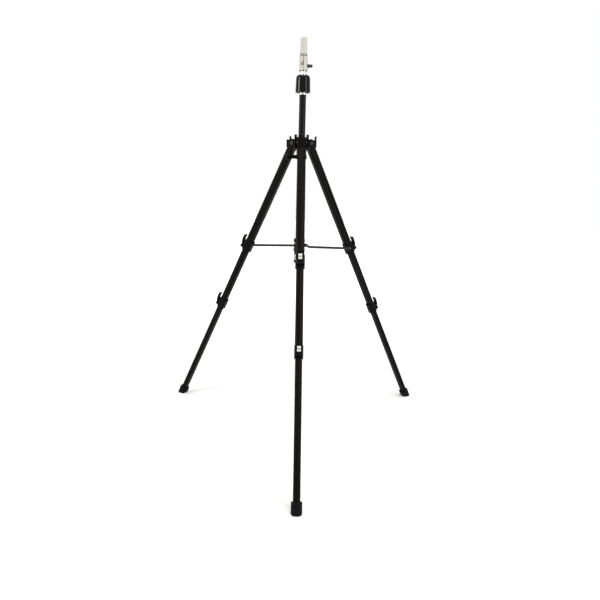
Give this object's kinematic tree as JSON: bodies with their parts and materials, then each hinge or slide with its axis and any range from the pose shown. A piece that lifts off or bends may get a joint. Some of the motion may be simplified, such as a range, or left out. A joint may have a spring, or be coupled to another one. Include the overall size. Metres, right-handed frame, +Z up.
{
  "type": "head tripod stand",
  "caption": "Folding tripod stand with telescoping flip-lock legs, a linked brace, a sliding centre column and a tapered pin that holds a training head.",
  "frame": {"origin": "on the floor under the centre column's axis", "axes": "+Z up along the column, the front leg points to -Y, +X to the right in the front view"},
  "size_m": [0.7958, 0.6915, 1.0858],
  "materials": {
    "leg_aluminium": "black anodised, satin",
    "column_aluminium": "dark grey anodised, satin",
    "crown_plastic": "moulded, fine grain",
    "lock_plastic": "moulded, fine grain",
    "cap_plastic": "polished",
    "nylon": "natural",
    "boot_rubber": "moulded",
    "ring_chrome": "polished",
    "spigot_steel": "polished",
    "pin_aluminium": "turned, satin",
    "screw_steel": "blackened",
    "arm_steel": "black, satin",
    "rivet_steel": "plain"
  },
  "bodies": {
    "stand": {"crown": "crown_plastic", "pivot_bolts": "screw_steel", "column_bush": "nylon", "guide_tube": "leg_aluminium", "guide_cap": "lock_plastic"},
    "lock": {"lock_screw": "crown_plastic"},
    "column": {"column": "column_aluminium", "column_foot": "nylon", "column_ring": "ring_chrome", "bell_cap": "cap_plastic", "spigot": "spigot_steel"},
    "pin": {"head_pin": "pin_aluminium", "pin_sleeve": "pin_aluminium"},
    "thumb": {"pin_screw": "screw_steel"},
    "hub": {"brace_hub": "lock_plastic"},
    "front_leg": {"front_knuckle": "crown_plastic", "front_upper_tube": "leg_aluminium", "front_upper_collar": "lock_plastic", "front_upper_lever_pin": "rivet_steel"},
    "front_upper_flip": {"front_upper_lever": "lock_plastic"},
    "front_mid": {"front_mid_tube": "leg_aluminium", "front_mid_guide": "nylon", "front_lower_collar": "lock_plastic", "front_lower_lever_pin": "rivet_steel"},
    "front_lower_flip": {"front_lower_lever": "lock_plastic"},
    "front_low": {"front_lower_tube": "leg_aluminium", "front_lower_guide": "nylon", "front_boot": "boot_rubber"},
    "front_arm": {"front_brace_arm": "arm_steel", "front_brace_rivets": "rivet_steel"},
    "right_leg": {"right_knuckle": "crown_plastic", "right_upper_tube": "leg_aluminium", "right_upper_collar": "lock_plastic", "right_upper_lever_pin": "rivet_steel"},
    "right_upper_flip": {"right_upper_lever": "lock_plastic"},
    "right_mid": {"right_mid_tube": "leg_aluminium", "right_mid_guide": "nylon", "right_lower_collar": "lock_plastic", "right_lower_lever_pin": "rivet_steel"},
    "right_lower_flip": {"right_lower_lever": "lock_plastic"},
    "right_low": {"right_lower_tube": "leg_aluminium", "right_lower_guide": "nylon", "right_boot": "boot_rubber"},
    "right_arm": {"right_brace_arm": "arm_steel", "right_brace_rivets": "rivet_steel"},
    "left_leg": {"left_knuckle": "crown_plastic", "left_upper_tube": "leg_aluminium", "left_upper_collar": "lock_plastic", "left_upper_lever_pin": "rivet_steel"},
    "left_upper_flip": {"left_upper_lever": "lock_plastic"},
    "left_mid": {"left_mid_tube": "leg_aluminium", "left_mid_guide": "nylon", "left_lower_collar": "lock_plastic", "left_lower_lever_pin": "rivet_steel"},
    "left_lower_flip": {"left_lower_lever": "lock_plastic"},
    "left_low": {"left_lower_tube": "leg_aluminium", "left_lower_guide": "nylon", "left_boot": "boot_rubber"},
    "left_arm": {"left_brace_arm": "arm_steel", "left_brace_rivets": "rivet_steel"}
  },
  "joints": [
    {"name": "column_slide", "type": "slide", "parent": "stand", "child": "column", "axis": [0, 0, 1], "range_m": [-0.1, 0.125]},
    {"name": "lock_turn", "type": "hinge", "parent": "stand", "child": "lock", "pos_m": [0, 0, 0.78729], "axis": [-0.866, -0.5, 0], "continuous": true},
    {"name": "pin_turn", "type": "hinge", "parent": "column", "child": "pin", "pos_m": [0, 0, 1.00279], "axis": [0, 0, 1], "range_deg": [-180, 180]},
    {"name": "thumb_turn", "type": "hinge", "parent": "pin", "child": "thumb", "pos_m": [0, 0, 1.01679], "axis": [1, 0, 0], "continuous": true},
    {"name": "hub_slide", "type": "slide", "parent": "stand", "child": "hub", "axis": [0, 0, 1], "range_m": [0, 0.09929]},
    {"name": "front_leg_fold", "type": "hinge", "parent": "stand", "child": "front_leg", "pos_m": [0, -0.024, 0.82329], "axis": [1, 0, 0], "range_deg": [0, 23]},
    {"name": "front_upper_flip_turn", "type": "hinge", "parent": "front_leg", "child": "front_upper_flip", "pos_m": [0, -0.19049, 0.53046], "axis": [1, 0, 0], "range_deg": [0, 100]},
    {"name": "front_lower_flip_turn", "type": "hinge", "parent": "front_mid", "child": "front_lower_flip", "pos_m": [0, -0.29297, 0.32679], "axis": [1, 0, 0], "range_deg": [0, 100]},
    {"name": "front_mid_slide", "type": "slide", "parent": "front_leg", "child": "front_mid", "axis": [0, -0.454, -0.891], "range_m": [-0.166, 0.08]},
    {"name": "front_low_slide", "type": "slide", "parent": "front_mid", "child": "front_low", "axis": [0, -0.454, -0.891], "range_m": [-0.283, 0]},
    {"name": "front_arm_turn", "type": "hinge", "parent": "hub", "child": "front_arm", "pos_m": [0, -0.016, 0.54773], "axis": [1, 0, 0], "range_deg": [0, 74.37]},
    {"name": "right_leg_fold", "type": "hinge", "parent": "stand", "child": "right_leg", "pos_m": [0.02079, 0.012, 0.82329], "axis": [-0.5, 0.866, 0], "range_deg": [0, 23]},
    {"name": "right_upper_flip_turn", "type": "hinge", "parent": "right_leg", "child": "right_upper_flip", "pos_m": [0.16497, 0.09524, 0.53046], "axis": [-0.5, 0.866, 0], "range_deg": [0, 100]},
    {"name": "right_lower_flip_turn", "type": "hinge", "parent": "right_mid", "child": "right_lower_flip", "pos_m": [0.25018, 0.14444, 0.33481], "axis": [-0.5, 0.866, 0], "range_deg": [0, 100]},
    {"name": "right_mid_slide", "type": "slide", "parent": "right_leg", "child": "right_mid", "axis": [0.3932, 0.227, -0.891], "range_m": [-0.157, 0.089]},
    {"name": "right_low_slide", "type": "slide", "parent": "right_mid", "child": "right_low", "axis": [0.3932, 0.227, -0.891], "range_m": [-0.292, 0]},
    {"name": "right_arm_turn", "type": "hinge", "parent": "hub", "child": "right_arm", "pos_m": [0.01386, 0.008, 0.54773], "axis": [-0.5, 0.866, 0], "range_deg": [0, 74.37]},
    {"name": "left_leg_fold", "type": "hinge", "parent": "stand", "child": "left_leg", "pos_m": [-0.02079, 0.012, 0.82329], "axis": [-0.5, -0.866, 0], "range_deg": [0, 23]},
    {"name": "left_upper_flip_turn", "type": "hinge", "parent": "left_leg", "child": "left_upper_flip", "pos_m": [-0.16497, 0.09524, 0.53046], "axis": [-0.5, -0.866, 0], "range_deg": [0, 100]},
    {"name": "left_lower_flip_turn", "type": "hinge", "parent": "left_mid", "child": "left_lower_flip", "pos_m": [-0.24743, 0.14286, 0.34104], "axis": [-0.5, -0.866, 0], "range_deg": [0, 100]},
    {"name": "left_mid_slide", "type": "slide", "parent": "left_leg", "child": "left_mid", "axis": [-0.3932, 0.227, -0.891], "range_m": [-0.15, 0.096]},
    {"name": "left_low_slide", "type": "slide", "parent": "left_mid", "child": "left_low", "axis": [-0.3932, 0.227, -0.891], "range_m": [-0.299, 0]},
    {"name": "left_arm_turn", "type": "hinge", "parent": "hub", "child": "left_arm", "pos_m": [-0.01386, 0.008, 0.54773], "axis": [-0.5, -0.866, 0], "range_deg": [0, 74.37]}
  ],
  "couplings": [
    {"joint": "front_arm_turn", "follows": "front_leg_fold", "ratio": 3.2331},
    {"joint": "right_arm_turn", "follows": "front_leg_fold", "ratio": 3.2331},
    {"joint": "right_leg_fold", "follows": "front_leg_fold", "ratio": 1},
    {"joint": "left_arm_turn", "follows": "front_leg_fold", "ratio": 3.2331},
    {"joint": "left_leg_fold", "follows": "front_leg_fold", "ratio": 1},
    {"joint": "hub_slide", "follows": "front_leg_fold", "m_per_rad": 0.24731}
  ]
}
